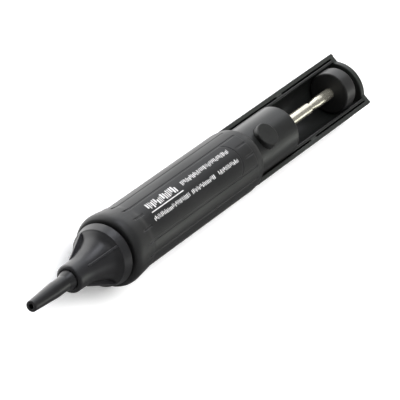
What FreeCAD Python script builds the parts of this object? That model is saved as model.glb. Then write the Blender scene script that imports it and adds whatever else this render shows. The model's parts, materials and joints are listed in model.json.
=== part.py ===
"""Desoldering pump: spring-loaded vacuum pump with a screw-off nose and a thumb-pressed plunger.

Frame: +X runs along the pump from the nozzle to the plunger guard, +Z is up through the release
button, and the origin is on the bench under the middle of the pump. Every station below is a
distance from the nozzle's tip along the pump's axis, in millimetres.
"""

import FreeCAD, Part
import math
import os
import Sketcher

SIZES = {
    # whole pump
    "overall_length": 195.0,
    "collar_r": 12.3,
    "full_turn": 360.0,
    "half_turn": 180.0,
    # nozzle
    "orifice_r": 0.9,
    "orifice_length": 12.0,
    "nozzle_bore_r": 1.3,
    "nozzle_tip_r": 1.87,
    "nozzle_shank_r": 2.6,
    "nozzle_taper": 12.0,
    "nozzle_flare_start": 17.4,
    "nozzle_flare_end": 19.7,
    "nozzle_flare_r": 3.3,
    "nozzle_flange_r": 4.1,
    "nozzle_flange_front": 27.0,
    "nozzle_flange_rear": 29.0,
    # seal and retainer behind the nozzle
    "nozzle_seal_r": 3.2,
    "nozzle_seal_wire": 0.75,
    "retainer_hole_r": 2.0,
    "retainer_sleeve_r": 4.1,
    "retainer_front": 30.5,
    "retainer_flange_r": 6.8,
    "retainer_flange": 1.0,
    # nose cone
    "nose_front": 20.0,
    "nose_front_r": 4.7,
    "nose_edge": 0.9,
    "nose_throat_r": 3.4,
    "nose_seat_r": 4.2,
    "bell_start": 25.0,
    "bell_start_r": 4.75,
    "bell_one": 29.0,
    "bell_one_r": 5.5,
    "bell_two": 32.2,
    "bell_two_r": 6.3,
    "bell_three": 34.9,
    "bell_three_r": 7.6,
    "bell_end": 36.7,
    "bell_end_r": 9.2,
    "nose_band_front_r": 9.8,
    "nose_band_rear": 40.0,
    "nose_band_rear_r": 10.6,
    "spring_seat": 36.0,
    "spring_pocket_r": 7.1,
    "spigot_r": 9.5,
    "spigot_end": 46.5,
    "nose_groove_front": 41.0,
    "nose_groove_width": 1.9,
    "nose_groove_r": 8.1,
    "nose_o_ring_wire": 0.8,
    "nose_o_ring_r": 8.95,
    # finger wings on the nose
    "wing_count": 4,
    "wing_thickness": 0.9,
    "wing_front": 25.6,
    "wing_front_r": 5.05,
    "wing_rear": 35.9,
    "wing_rear_r": 9.6,
    "wing_foot": 36.9,
    "wing_root_r": 4.5,
    "nose_lean": 6.0,
    # barrel
    "barrel_front": 41.0,
    "barrel_front_r": 11.4,
    "collar_shoulder": 43.4,
    "collar_rear": 44.6,
    "skirt_one": 46.4,
    "skirt_one_r": 12.05,
    "skirt_two": 50.3,
    "skirt_two_r": 11.65,
    "skirt_end": 52.1,
    "barrel_r": 11.24,
    "barrel_chamfer": 114.6,
    "chamfer_one": 117.5,
    "chamfer_one_r": 11.0,
    "chamfer_two": 118.6,
    "chamfer_two_r": 10.6,
    "barrel_rear": 119.0,
    "barrel_rear_r": 10.0,
    "socket_r": 9.8,
    "barrel_bore_r": 9.02,
    "flute_front": 47.2,
    "flute_cutter_r": 0.6,
    "flute_centre_r": 11.7,
    "flute_pitch_angle": 22.5,
    "long_flute_angle": 33.75,
    "long_flute_count": 14,
    "long_flute_sweep": 292.5,
    "short_flute_angle": 11.25,
    "short_flute_count": 2,
    "panel_front": 53.6,
    "panel_rear": 107.5,
    # pump tube
    "tube_front": 47.0,
    "tube_r": 9.0,
    "tube_bore_r": 8.0,
    "rim": 144.4,
    "trough_end": 192.6,
    "cut_reach": 14.0,
    "rim_margin": 1.0,
    # piston
    "piston_front": 88.0,
    "piston_rear": 101.8,
    "piston_r": 7.8,
    "piston_cup_r": 4.8,
    "piston_web": 93.0,
    "piston_shoulder": 98.0,
    "piston_groove_front": 93.6,
    "piston_groove_width": 2.2,
    "piston_groove_r": 6.0,
    "piston_ring_r": 6.99,
    "piston_ring_wire": 0.97,
    "stud_hole_r": 1.55,
    "rod_hole_r": 2.05,
    "nut_circumradius": 3.175,
    "nut_sides": 6,
    "nut_thickness": 2.4,
    "nut_front": 90.1,
    "piston_washer_r": 3.6,
    # cleaning pin
    "pin_tip": 39.0,
    "pin_r": 0.6,
    "pin_point": 0.8,
    "pin_point_r": 0.25,
    "pin_root": 94.0,
    "pin_socket_r": 0.62,
    # main spring
    "spring_front": 37.0,
    "spring_wire_r": 0.5,
    "spring_coil_r": 5.9,
    "spring_turns": 8.5,
    # plunger rod
    "stud_r": 1.5,
    "stud_front": 90.0,
    "rod_r": 2.0,
    "notch_shoulder": 164.9,
    "notch_front": 165.45,
    "notch_rear": 166.6,
    "notch_r": 1.425,
    "cone_end": 170.7,
    "rod_rear_r": 1.925,
    "rod_end": 183.6,
    # knob
    "knob_front": 179.4,
    "knob_rear": 185.2,
    "knob_r": 7.4,
    "knob_edge": 0.5,
    "knob_dish": 0.5,
    "knob_hole_end": 183.8,
    # rear stop of the piston and its bumper
    "bumper_front": 101.9,
    "bumper_r": 6.5,
    "bumper_hole_r": 2.4,
    "bush_front": 103.5,
    "bush_rear": 110.0,
    "insert_r": 7.98,
    "vent_r": 1.0,
    "vent_circle_r": 5.3,
    "vent_count": 3,
    "circlip_thickness": 1.0,
    "circlip_groove_r": 8.45,
    "circlip_r": 8.4,
    "circlip_hole_r": 6.6,
    "circlip_half_gap": 2.0,
    # release button, latch plate and their carrier
    "button_station": 127.0,
    "button_r": 4.3,
    "button_hole_r": 4.42,
    "button_foot": 5.0,
    "button_top": 10.65,
    "button_edge": 0.4,
    "plate_thickness": 1.2,
    "plate_half_thickness": 0.6,
    "plate_half_width": 4.1,
    "plate_low": 4.0,
    "plate_high": 6.5,
    "plate_hole_r": 2.12,
    "plate_hole_rise": 1.6,
    "carrier_front_length": 6.2,
    "carrier_rear_length": 6.8,
    "carrier_slot": 0.8,
    "carrier_slot_half_width": 4.5,
    "carrier_slot_low": 6.4,
    "carrier_pocket_r": 4.6,
    "carrier_pocket_floor": 3.3,
    "carrier_well_r": 2.6,
    "carrier_vent_count": 2,
    "button_spring_low": 7.9,
    "button_spring_wire_r": 0.25,
    "button_spring_r": 2.0,
    "button_spring_turns": 4.0,
    "screw_offset": 4.4,
    "screw_r": 1.0,
    "screw_hole_r": 1.02,
    "screw_head_r": 1.9,
    "screw_head_low": 8.95,
    "screw_head_high": 8.1,
    "screw_point": 4.6,
    # plunger guard
    "guard_front": 120.5,
    "guard_r": 11.0,
    "guard_bore_r": 9.6,
    "end_arch_half_width": 7.4,
    "end_arch_r": 10.15,
    "lug_front": 155.9,
    "lug_rear": 159.3,
    "lug_inner": 9.05,
    "lug_outer": 9.8,
    "lug_depth": 1.6,
    "keel_half_width": 1.5,
    "keel_top": 9.05,
    "keel_bottom": 9.8,
}

document = FreeCAD.newDocument("DesolderingPump")
sheet = document.addObject("Spreadsheet::Sheet", "Dims")
for row, (alias, number) in enumerate(SIZES.items(), start=1):
    sheet.set(f"A{row}", alias)
    sheet.set(f"B{row}", str(number))
    sheet.setAlias(f"B{row}", alias)
document.recompute()

NODES = []
NEGLIGIBLE = 1e-9


# ---------------------------------------------------------------- sizes in expressions

def amount(terms):
    """Value of a sum of named sizes, such as 'rod_r + clearance - wall'; an empty sum is 0."""
    total = 0.0
    sign = 1.0
    for word in terms.split():
        if word == "+":
            sign = 1.0
        elif word == "-":
            sign = -1.0
        else:
            total += sign * float(sheet.get(word))
    return total


def bound(terms):
    """The same sum as an expression that reads the spreadsheet."""
    words = [word if word in "+-" else "Dims." + word for word in terms.split()]
    return " ".join(words) if words else "0"


def drive(thing, path, terms):
    """Ties one property of an object to a sum of named sizes."""
    thing.setExpression(path, bound(terms))


def stand(thing, station=""):
    """Places a sub-part on the pump's axis, at a station from the tip."""
    along = f" + {bound(station)}" if station else ""
    thing.setExpression("Placement.Base.x", "-Dims.overall_length / 2" + along)
    thing.setExpression("Placement.Base.z", "Dims.collar_r")


# ---------------------------------------------------------------- sketches

def new_body(label, station=""):
    """An empty body whose own origin is on the pump's axis, at a station from the tip."""
    body = document.addObject("PartDesign::Body", label)
    body.Label = label
    stand(body, station)
    NODES.append(body)
    return body


def new_sketch(body, role, name):
    """A sketch on one of the body's own origin planes."""
    plane = [feature for feature in body.Origin.OriginFeatures if feature.Role == role][0]
    sketch = body.newObject("Sketcher::SketchObject", name)
    sketch.AttachmentSupport = (plane, [""])
    sketch.MapMode = "FlatFace"
    return sketch


def fix_distance(sketch, kind, geometry, vertex, terms, axis):
    """Holds a vertex at a bound distance from the sketch's origin, along one direction."""
    size = amount(terms)
    if abs(size) < NEGLIGIBLE:
        sketch.addConstraint(Sketcher.Constraint("PointOnObject", geometry, vertex, axis))
        return
    if size > 0:
        rule = Sketcher.Constraint(kind, -1, 1, geometry, vertex, size)
    else:
        rule = Sketcher.Constraint(kind, geometry, vertex, -1, 1, -size)
    index = sketch.addConstraint(rule)
    name = f"{kind}_{geometry}_{vertex}"
    sketch.renameConstraint(index, name)
    expression = bound(terms) if size > 0 else f"-({bound(terms)})"
    sketch.setExpression("Constraints." + name, expression)


def fix_vertex(sketch, geometry, vertex, across, along):
    """Holds a vertex at bound sketch coordinates."""
    fix_distance(sketch, "DistanceX", geometry, vertex, across, -2)
    fix_distance(sketch, "DistanceY", geometry, vertex, along, -1)


def draw_outline(sketch, points):
    """A closed outline of straight edges through points given as pairs of named sums."""
    corners = [FreeCAD.Vector(amount(across), amount(along), 0) for across, along in points]
    first = sketch.GeometryCount
    count = len(points)
    for index in range(count):
        edge = Part.LineSegment(corners[index], corners[(index + 1) % count])
        sketch.addGeometry(edge, False)
    for index in range(count):
        following = first + (index + 1) % count
        sketch.addConstraint(Sketcher.Constraint("Coincident", first + index, 2, following, 1))
        fix_vertex(sketch, first + index, 1, *points[index])


def draw_circle(sketch, across, along, radius):
    """A circle with a bound centre and radius."""
    centre = FreeCAD.Vector(amount(across), amount(along), 0)
    circle = Part.Circle(centre, FreeCAD.Vector(0, 0, 1), amount(radius))
    geometry = sketch.addGeometry(circle, False)
    fix_vertex(sketch, geometry, 3, across, along)
    index = sketch.addConstraint(Sketcher.Constraint("Radius", geometry, amount(radius)))
    sketch.renameConstraint(index, f"radius_{geometry}")
    drive(sketch, f"Constraints.radius_{geometry}", radius)


def draw_polar_circle(sketch, distance, angle, radius):
    """A circle whose centre leans from the sketch's upward axis towards -Y by a bound angle."""
    reach = amount(distance)
    tilt = -math.radians(amount(angle))
    centre = FreeCAD.Vector(reach * math.sin(tilt), reach * math.cos(tilt), 0)
    arm = sketch.addGeometry(Part.LineSegment(FreeCAD.Vector(0, 0, 0), centre), True)
    sketch.addConstraint(Sketcher.Constraint("Coincident", arm, 1, -1, 1))
    length = sketch.addConstraint(Sketcher.Constraint("Distance", arm, reach))
    sketch.renameConstraint(length, "arm_length")
    drive(sketch, "Constraints.arm_length", distance)
    lean = sketch.addConstraint(Sketcher.Constraint("Angle", -2, 1, arm, 1, -tilt))
    sketch.renameConstraint(lean, "arm_angle")
    drive(sketch, "Constraints.arm_angle", angle)
    circle = Part.Circle(centre, FreeCAD.Vector(0, 0, 1), amount(radius))
    geometry = sketch.addGeometry(circle, False)
    sketch.addConstraint(Sketcher.Constraint("Coincident", geometry, 3, arm, 2))
    size = sketch.addConstraint(Sketcher.Constraint("Radius", geometry, amount(radius)))
    sketch.renameConstraint(size, "cutter_radius")
    drive(sketch, "Constraints.cutter_radius", radius)


def draw_arch(sketch):
    """The rounded top edge of the end wall: one arc on a level chord."""
    half = amount("end_arch_half_width")
    radius = amount("end_arch_r")
    drop = math.sqrt(radius ** 2 - half ** 2)
    centre = FreeCAD.Vector(0, -drop, 0)
    start = math.atan2(drop, half)
    circle = Part.Circle(centre, FreeCAD.Vector(0, 0, 1), radius)
    arc = sketch.addGeometry(Part.ArcOfCircle(circle, start, math.pi - start), False)
    chord = sketch.addGeometry(
        Part.LineSegment(FreeCAD.Vector(-half, 0, 0), FreeCAD.Vector(half, 0, 0)), False)
    sketch.addConstraint(Sketcher.Constraint("Coincident", arc, 2, chord, 1))
    sketch.addConstraint(Sketcher.Constraint("Coincident", arc, 1, chord, 2))
    fix_vertex(sketch, chord, 1, "- end_arch_half_width", "")
    fix_vertex(sketch, chord, 2, "end_arch_half_width", "")
    size = sketch.addConstraint(Sketcher.Constraint("Radius", arc, radius))
    sketch.renameConstraint(size, "arch_radius")
    drive(sketch, "Constraints.arch_radius", "end_arch_r")


def rectangle(left, right, low, high):
    """Corner points of a rectangle, for draw_outline."""
    return [(left, low), (right, low), (right, high), (left, high)]


# ---------------------------------------------------------------- features

def turn(body, points, name="Turned", axis="H_Axis", angle="full_turn"):
    """Revolves an outline about a sketch axis; a part turn is centred on the sketch plane."""
    sketch = new_sketch(body, "XZ_Plane", name + "Sketch")
    draw_outline(sketch, points)
    solid = body.newObject("PartDesign::Revolution", name)
    solid.Profile = sketch
    solid.ReferenceAxis = (sketch, [axis])
    solid.Midplane = angle != "full_turn"
    drive(solid, "Angle", angle)
    return solid


def pad(body, sketch, length, name, both_ways=False):
    """Adds material along the sketch's normal."""
    solid = body.newObject("PartDesign::Pad", name)
    solid.Profile = sketch
    solid.Midplane = both_ways
    drive(solid, "Length", length)
    return solid


def pocket(body, sketch, length, name, with_normal=False, both_ways=False):
    """Takes material away, against the sketch's normal unless told otherwise."""
    before = volume_of(body)
    cut = body.newObject("PartDesign::Pocket", name)
    cut.Profile = sketch
    cut.Reversed = with_normal
    cut.Midplane = both_ways
    drive(cut, "Length", length)
    if volume_of(body) >= before:
        raise ValueError(f"{name} in {body.Label} cuts nothing")
    return cut


def volume_of(body):
    """The body's volume after a recompute."""
    document.recompute()
    return body.Shape.Volume


def axis_of(body, role):
    """One of the body's own origin axes, as a pattern direction."""
    axis = [feature for feature in body.Origin.OriginFeatures if feature.Role == role][0]
    return (axis, [""])


def repeat_round(body, feature, count, angle, name):
    """Repeats a feature about the pump's axis."""
    pattern = body.newObject("PartDesign::PolarPattern", name)
    pattern.Originals = [feature]
    pattern.Axis = axis_of(body, "X_Axis")
    drive(pattern, "Angle", angle)
    drive(pattern, "Occurrences", count)
    body.Tip = pattern
    return pattern


def coil(body, axis, wire_r, coil_r, length, turns):
    """A wire wound in a helix that starts on the sketch's second axis."""
    sketch = new_sketch(body, "XZ_Plane", "WireSection")
    if axis == "H_Axis":
        draw_circle(sketch, wire_r, coil_r, wire_r)
    else:
        draw_circle(sketch, coil_r, wire_r, wire_r)
    helix = body.newObject("PartDesign::AdditiveHelix", "Coil")
    helix.Profile = sketch
    helix.ReferenceAxis = (sketch, [axis])
    helix.Mode = "height-turns-angle"
    drive(helix, "Height", f"{length} - {wire_r} - {wire_r}")
    drive(helix, "Turns", turns)
    return helix


def ring(label, centre_r, wire_r, station):
    """A round-section ring about the pump's axis, such as an O-ring."""
    torus = document.addObject("Part::Torus", label)
    torus.Label = label
    drive(torus, "Radius1", centre_r)
    drive(torus, "Radius2", wire_r)
    torus.Placement.Rotation = FreeCAD.Rotation(FreeCAD.Vector(0, 1, 0), 90)
    stand(torus, station)
    NODES.append(torus)
    return torus


# ---------------------------------------------------------------- nose

def make_nozzle():
    """Tapered suction nozzle with a collar at the nose's mouth and a flange behind the throat."""
    turn(new_body("nozzle"), [
        ("", "orifice_r"),
        ("", "nozzle_tip_r"),
        ("nozzle_taper", "nozzle_shank_r"),
        ("nozzle_flare_start", "nozzle_shank_r"),
        ("nozzle_flare_end", "nozzle_flare_r"),
        ("nozzle_flange_front", "nozzle_flare_r"),
        ("nozzle_flange_front", "nozzle_flange_r"),
        ("nozzle_flange_rear", "nozzle_flange_r"),
        ("nozzle_flange_rear", "nozzle_bore_r"),
        ("orifice_length", "nozzle_bore_r"),
        ("orifice_length", "orifice_r"),
    ])


def make_nozzle_seal():
    """O-ring squeezed between the nozzle's flange and the retainer."""
    ring("nozzle_seal_ring", "nozzle_seal_r", "nozzle_seal_wire",
         "nozzle_flange_rear + nozzle_seal_wire")


def make_nozzle_retainer():
    """Top-hat sleeve behind the nozzle's flange, whose brim seats the main spring."""
    turn(new_body("nozzle_retainer"), [
        ("retainer_front", "retainer_hole_r"),
        ("retainer_front", "retainer_sleeve_r"),
        ("spring_seat", "retainer_sleeve_r"),
        ("spring_seat", "retainer_flange_r"),
        ("spring_seat + retainer_flange", "retainer_flange_r"),
        ("spring_seat + retainer_flange", "retainer_hole_r"),
    ])


def make_nose_cone():
    """Bell-shaped nozzle holder with a screwed spigot and four finger wings, screwed home."""
    body = new_body("nose_cone")
    body.Placement.Rotation = FreeCAD.Rotation(FreeCAD.Vector(1, 0, 0), amount("nose_lean"))
    drive(body, "Placement.Rotation.Angle", "nose_lean")
    turn(body, [
        ("nose_front", "nose_throat_r"),
        ("nose_front", "nose_front_r - nose_edge"),
        ("nose_front + nose_edge", "nose_front_r"),
        ("bell_start", "bell_start_r"),
        ("bell_one", "bell_one_r"),
        ("bell_two", "bell_two_r"),
        ("bell_three", "bell_three_r"),
        ("bell_end", "bell_end_r"),
        ("bell_end", "nose_band_front_r"),
        ("nose_band_rear", "nose_band_rear_r"),
        ("nose_band_rear", "spigot_r"),
        ("nose_groove_front", "spigot_r"),
        ("nose_groove_front", "nose_groove_r"),
        ("nose_groove_front + nose_groove_width", "nose_groove_r"),
        ("nose_groove_front + nose_groove_width", "spigot_r"),
        ("spigot_end", "spigot_r"),
        ("spigot_end", "spring_pocket_r"),
        ("spring_seat", "spring_pocket_r"),
        ("spring_seat", "nose_seat_r"),
        ("nozzle_flange_front", "nose_seat_r"),
        ("nozzle_flange_front", "nose_throat_r"),
    ])
    outline = new_sketch(body, "XZ_Plane", "WingSketch")
    draw_outline(outline, [
        ("wing_front", "wing_root_r"),
        ("wing_front", "wing_front_r"),
        ("wing_rear", "wing_rear_r"),
        ("wing_foot", "wing_rear_r"),
        ("wing_foot", "bell_three_r"),
        ("bell_two", "bell_one_r"),
    ])
    wing = pad(body, outline, "wing_thickness", "Wing", both_ways=True)
    repeat_round(body, wing, "wing_count", "full_turn", "Wings")


def make_nose_o_ring():
    """O-ring in the spigot's groove, which seals the nose in the barrel."""
    ring("nose_o_ring", "nose_o_ring_r", "nose_o_ring_wire",
         "nose_groove_front + nose_o_ring_wire")


# ---------------------------------------------------------------- barrel and tube

def make_barrel():
    """Outer casing: thick front collar, tapering skirt, fluted grip with a plain label panel."""
    body = new_body("barrel")
    turn(body, [
        ("barrel_front", "socket_r"),
        ("barrel_front", "barrel_front_r"),
        ("collar_shoulder", "collar_r"),
        ("collar_rear", "collar_r"),
        ("skirt_one", "skirt_one_r"),
        ("skirt_two", "skirt_two_r"),
        ("skirt_end", "barrel_r"),
        ("barrel_chamfer", "barrel_r"),
        ("chamfer_one", "chamfer_one_r"),
        ("chamfer_two", "chamfer_two_r"),
        ("barrel_rear", "barrel_rear_r"),
        ("barrel_rear", "barrel_bore_r"),
        ("tube_front", "barrel_bore_r"),
        ("tube_front", "socket_r"),
    ])
    for name, front, rear, kind, sweep in (
            ("LongFlute", "flute_front", "barrel_chamfer", "long_flute", "long_flute_sweep"),
            ("FrontFlute", "flute_front", "panel_front", "short_flute", "flute_pitch_angle"),
            ("RearFlute", "panel_rear", "barrel_chamfer", "short_flute", "flute_pitch_angle")):
        section = new_sketch(body, "YZ_Plane", name + "Sketch")
        drive(section, "AttachmentOffset.Base.z", front)
        draw_polar_circle(section, "flute_centre_r", kind + "_angle", "flute_cutter_r")
        flute = pocket(body, section, f"{rear} - {front}", name, with_normal=True)
        repeat_round(body, flute, kind + "_count", sweep, name + "s")


def make_pump_tube():
    """Inner tube: the piston's cylinder, the button's housing and the trough behind the rim."""
    body = new_body("pump_tube")
    turn(body, rectangle("tube_front", "trough_end", "tube_bore_r", "tube_r"))
    cut_away = new_sketch(body, "XY_Plane", "TroughSketch")
    draw_outline(cut_away, rectangle("rim", "trough_end + rim_margin", "- cut_reach", "cut_reach"))
    pocket(body, cut_away, "cut_reach", "Trough", with_normal=True)
    hole = new_sketch(body, "XY_Plane", "ButtonHoleSketch")
    draw_circle(hole, "button_station", "", "button_hole_r")
    pocket(body, hole, "cut_reach", "ButtonHole", with_normal=True)
    screw_hole = new_sketch(body, "XY_Plane", "ScrewHoleSketch")
    draw_circle(screw_hole, "button_station - screw_offset", "", "screw_head_r")
    pocket(body, screw_hole, "cut_reach", "ScrewHole")
    groove = new_sketch(body, "XZ_Plane", "CirclipGrooveSketch")
    draw_outline(groove, rectangle(
        "bush_rear", "bush_rear + circlip_thickness", "insert_r", "circlip_groove_r"))
    cut = body.newObject("PartDesign::Groove", "CirclipGroove")
    cut.Profile = groove
    cut.ReferenceAxis = (groove, ["H_Axis"])
    drive(cut, "Angle", "full_turn")


def make_plunger_guard():
    """Outer half-shell round the plunger, with an arched end wall, two lugs and a keel rib."""
    body = new_body("plunger_guard")
    shell = rectangle("guard_front", "overall_length", "- guard_r", "- guard_bore_r")
    turn(body, shell, "Shell", angle="half_turn")
    wall = rectangle("trough_end", "overall_length", "- guard_bore_r", "")
    turn(body, wall, "EndWall", angle="half_turn")
    arch = new_sketch(body, "YZ_Plane", "ArchSketch")
    drive(arch, "AttachmentOffset.Base.z", "trough_end")
    draw_arch(arch)
    pad(body, arch, "overall_length - trough_end", "Arch")
    for name, right, left in (("LeftLug", "lug_inner", "lug_outer"),
                              ("RightLug", "- lug_outer", "- lug_inner")):
        lug = new_sketch(body, "XY_Plane", name + "Sketch")
        draw_outline(lug, rectangle("lug_front", "lug_rear", right, left))
        hanging = pad(body, lug, "lug_depth", name)
        hanging.Reversed = True
    keel = new_sketch(body, "XZ_Plane", "KeelSketch")
    draw_outline(keel, rectangle("guard_front", "trough_end", "- keel_bottom", "- keel_top"))
    pad(body, keel, "keel_half_width + keel_half_width", "Keel", both_ways=True)


# ---------------------------------------------------------------- piston and plunger

def make_piston():
    """Piston with a front cup for its nut, an O-ring groove and a socket for the rod."""
    turn(new_body("piston"), [
        ("piston_front", "piston_cup_r"),
        ("piston_front", "piston_r"),
        ("piston_groove_front", "piston_r"),
        ("piston_groove_front", "piston_groove_r"),
        ("piston_groove_front + piston_groove_width", "piston_groove_r"),
        ("piston_groove_front + piston_groove_width", "piston_r"),
        ("piston_rear", "piston_r"),
        ("piston_rear", "rod_hole_r"),
        ("piston_shoulder", "rod_hole_r"),
        ("piston_shoulder", "stud_hole_r"),
        ("piston_web", "stud_hole_r"),
        ("piston_web", "piston_cup_r"),
    ])


def make_piston_o_ring():
    """O-ring that seals the piston in the tube."""
    ring("piston_o_ring", "piston_ring_r", "piston_ring_wire",
         "piston_groove_front + piston_ring_wire")


def make_piston_washer():
    """Plain washer under the piston's nut."""
    turn(new_body("piston_washer"), rectangle(
        "nut_front + nut_thickness", "piston_web", "stud_hole_r", "piston_washer_r"))


def make_piston_nut():
    """Hexagon nut on the rod's stud, inside the piston's cup."""
    blank = document.addObject("Part::Prism", "NutBlank")
    drive(blank, "Polygon", "nut_sides")
    drive(blank, "Circumradius", "nut_circumradius")
    drive(blank, "Height", "nut_thickness")
    hole = document.addObject("Part::Cylinder", "NutHole")
    drive(hole, "Radius", "stud_hole_r")
    drive(hole, "Height", "nut_thickness")
    nut = document.addObject("Part::Cut", "piston_nut")
    nut.Label = "piston_nut"
    nut.Base = blank
    nut.Tool = hole
    nut.Placement.Rotation = FreeCAD.Rotation(FreeCAD.Vector(0, 1, 0), 90)
    stand(nut, "nut_front")
    NODES.append(nut)


def make_cleaning_pin():
    """Steel pin that pushes solder out of the nozzle when the plunger goes in."""
    turn(new_body("cleaning_pin"), [
        ("pin_tip", ""),
        ("pin_tip", "pin_point_r"),
        ("pin_tip + pin_point", "pin_r"),
        ("pin_root", "pin_r"),
        ("pin_root", ""),
    ])


def make_main_spring():
    """Compression spring from the nozzle retainer to the piston."""
    coil(new_body("main_spring", "spring_front"), "H_Axis", "spring_wire_r", "spring_coil_r",
         "piston_front - spring_front", "spring_turns")


def make_plunger_rod():
    """Plated rod: threaded stud, latch notch with a steep front shoulder, cone and rear stud."""
    turn(new_body("plunger_rod"), [
        ("stud_front", "pin_socket_r"),
        ("stud_front", "stud_r"),
        ("piston_shoulder", "stud_r"),
        ("piston_shoulder", "rod_r"),
        ("notch_shoulder", "rod_r"),
        ("notch_front", "notch_r"),
        ("notch_rear", "notch_r"),
        ("cone_end", "rod_rear_r"),
        ("knob_front", "rod_rear_r"),
        ("knob_front", "stud_r"),
        ("rod_end", "stud_r"),
        ("rod_end", ""),
        ("pin_root", ""),
        ("pin_root", "pin_socket_r"),
    ])


def make_plunger_knob():
    """Thumb disc with a slightly dished rear face and a blind hole for the rod's stud."""
    turn(new_body("plunger_knob"), [
        ("knob_front", "stud_r"),
        ("knob_front", "knob_r - knob_edge"),
        ("knob_front + knob_edge", "knob_r"),
        ("knob_rear - knob_edge", "knob_r"),
        ("knob_rear", "knob_r - knob_edge"),
        ("knob_rear - knob_dish", ""),
        ("knob_hole_end", ""),
        ("knob_hole_end", "stud_r"),
    ])


# ---------------------------------------------------------------- rear stop and latch

def make_bumper_washer():
    """Rubber washer that the piston runs back against."""
    turn(new_body("bumper_washer"), rectangle(
        "bumper_front", "bush_front", "bumper_hole_r", "bumper_r"))


def make_rod_guide_bush():
    """Vented bush that closes the cylinder and guides the rod."""
    body = new_body("rod_guide_bush")
    turn(body, rectangle("bush_front", "bush_rear", "rod_hole_r", "insert_r"))
    section = new_sketch(body, "YZ_Plane", "VentSketch")
    drive(section, "AttachmentOffset.Base.z", "bush_front")
    draw_circle(section, "", "vent_circle_r", "vent_r")
    vent = pocket(body, section, "bush_rear - bush_front", "Vent", with_normal=True)
    repeat_round(body, vent, "vent_count", "full_turn", "Vents")


def make_bush_circlip():
    """Internal circlip behind the bush, open at the bottom."""
    body = new_body("bush_circlip")
    turn(body, rectangle(
        "bush_rear", "bush_rear + circlip_thickness", "circlip_hole_r", "circlip_r"))
    gap = new_sketch(body, "XY_Plane", "GapSketch")
    draw_outline(gap, rectangle(
        "bush_rear - rim_margin", "bush_rear + circlip_thickness + rim_margin",
        "- circlip_half_gap", "circlip_half_gap"))
    pocket(body, gap, "cut_reach", "Gap")


def make_latch_carrier():
    """Insert under the button: guides the rod, the latch plate and the button's spring."""
    body = new_body("latch_carrier", "button_station")
    turn(body, rectangle("- carrier_front_length", "carrier_rear_length", "rod_hole_r", "insert_r"))
    slot = new_sketch(body, "XY_Plane", "SlotSketch")
    slot_outline = rectangle("- carrier_slot", "carrier_slot",
                             "- carrier_slot_half_width", "carrier_slot_half_width")
    draw_outline(slot, slot_outline)
    pocket(body, slot, "cut_reach", "SlotAbove", with_normal=True)
    slot = new_sketch(body, "XY_Plane", "LowerSlotSketch")
    draw_outline(slot, slot_outline)
    pocket(body, slot, "carrier_slot_low", "SlotBelow")
    cup = new_sketch(body, "XY_Plane", "CupSketch")
    drive(cup, "AttachmentOffset.Base.z", "carrier_pocket_floor")
    draw_circle(cup, "", "", "carrier_pocket_r")
    pocket(body, cup, "cut_reach", "ButtonPocket", with_normal=True)
    well = new_sketch(body, "XY_Plane", "WellSketch")
    draw_circle(well, "", "", "carrier_well_r")
    pocket(body, well, "cut_reach", "SpringWell")
    tapped = new_sketch(body, "XY_Plane", "TappedSketch")
    draw_circle(tapped, "- screw_offset", "", "screw_hole_r")
    pocket(body, tapped, "cut_reach", "TappedHole")
    section = new_sketch(body, "YZ_Plane", "VentSketch")
    draw_circle(section, "vent_circle_r + vent_r", "", "vent_r")
    vent = pocket(body, section, "cut_reach + cut_reach", "Vent", both_ways=True)
    repeat_round(body, vent, "carrier_vent_count", "full_turn", "Vents")


def make_carrier_screw():
    """Small flat-headed screw from underneath that holds the carrier in the tube."""
    turn(new_body("carrier_screw", "button_station - screw_offset"), [
        ("", "- screw_point"),
        ("screw_r", "- screw_point"),
        ("screw_r", "- screw_head_high"),
        ("screw_head_r", "- screw_head_high"),
        ("screw_head_r", "- screw_head_low"),
        ("", "- screw_head_low"),
    ], axis="V_Axis")


def make_latch_plate():
    """Steel plate under the button, whose hole drops into the rod's notch."""
    body = new_body("latch_plate", "button_station")
    outline = new_sketch(body, "YZ_Plane", "PlateSketch")
    draw_outline(outline, rectangle(
        "- plate_half_width", "plate_half_width", "- plate_low", "plate_high"))
    pad(body, outline, "plate_thickness", "Plate", both_ways=True)
    for name, height in (("HoleBottom", ""), ("HoleTop", "plate_hole_rise")):
        end = new_sketch(body, "YZ_Plane", name + "Sketch")
        draw_circle(end, "", height, "plate_hole_r")
        pocket(body, end, "cut_reach", name, both_ways=True)
    middle = new_sketch(body, "YZ_Plane", "HoleMiddleSketch")
    draw_outline(middle, rectangle("- plate_hole_r", "plate_hole_r", "", "plate_hole_rise"))
    pocket(body, middle, "cut_reach", "HoleMiddle", both_ways=True)


def make_release_button():
    """Round button with a softened top edge, slit underneath for the latch plate."""
    body = new_body("release_button", "button_station")
    turn(body, [
        ("", "button_foot"),
        ("button_r", "button_foot"),
        ("button_r", "button_top - button_edge"),
        ("button_r - button_edge", "button_top"),
        ("", "button_top"),
    ], axis="V_Axis")
    slit = new_sketch(body, "XY_Plane", "SlitSketch")
    draw_outline(slit, rectangle("- plate_half_thickness", "plate_half_thickness",
                                 "- cut_reach", "cut_reach"))
    pocket(body, slit, "plate_high", "Slit", with_normal=True)


def make_button_spring():
    """Small compression spring that lifts the latch plate and the button."""
    body = new_body("button_spring", "button_station")
    coil(body, "V_Axis", "button_spring_wire_r", "button_spring_r",
         "button_spring_low - plate_low", "button_spring_turns")
    body.setExpression("Placement.Base.z", "Dims.collar_r - Dims.button_spring_low")


# ---------------------------------------------------------------- build, test and export

def find_faults():
    """Objects that failed to recompute, and sub-parts without a sound shape."""
    faults = [item.Name for item in document.Objects
              if "Invalid" in item.State or "Error" in item.State]
    for node in NODES:
        if node.Shape.isNull() or not node.Shape.isValid() or not node.Shape.Solids:
            faults.append(node.Label)
    return faults


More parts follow.
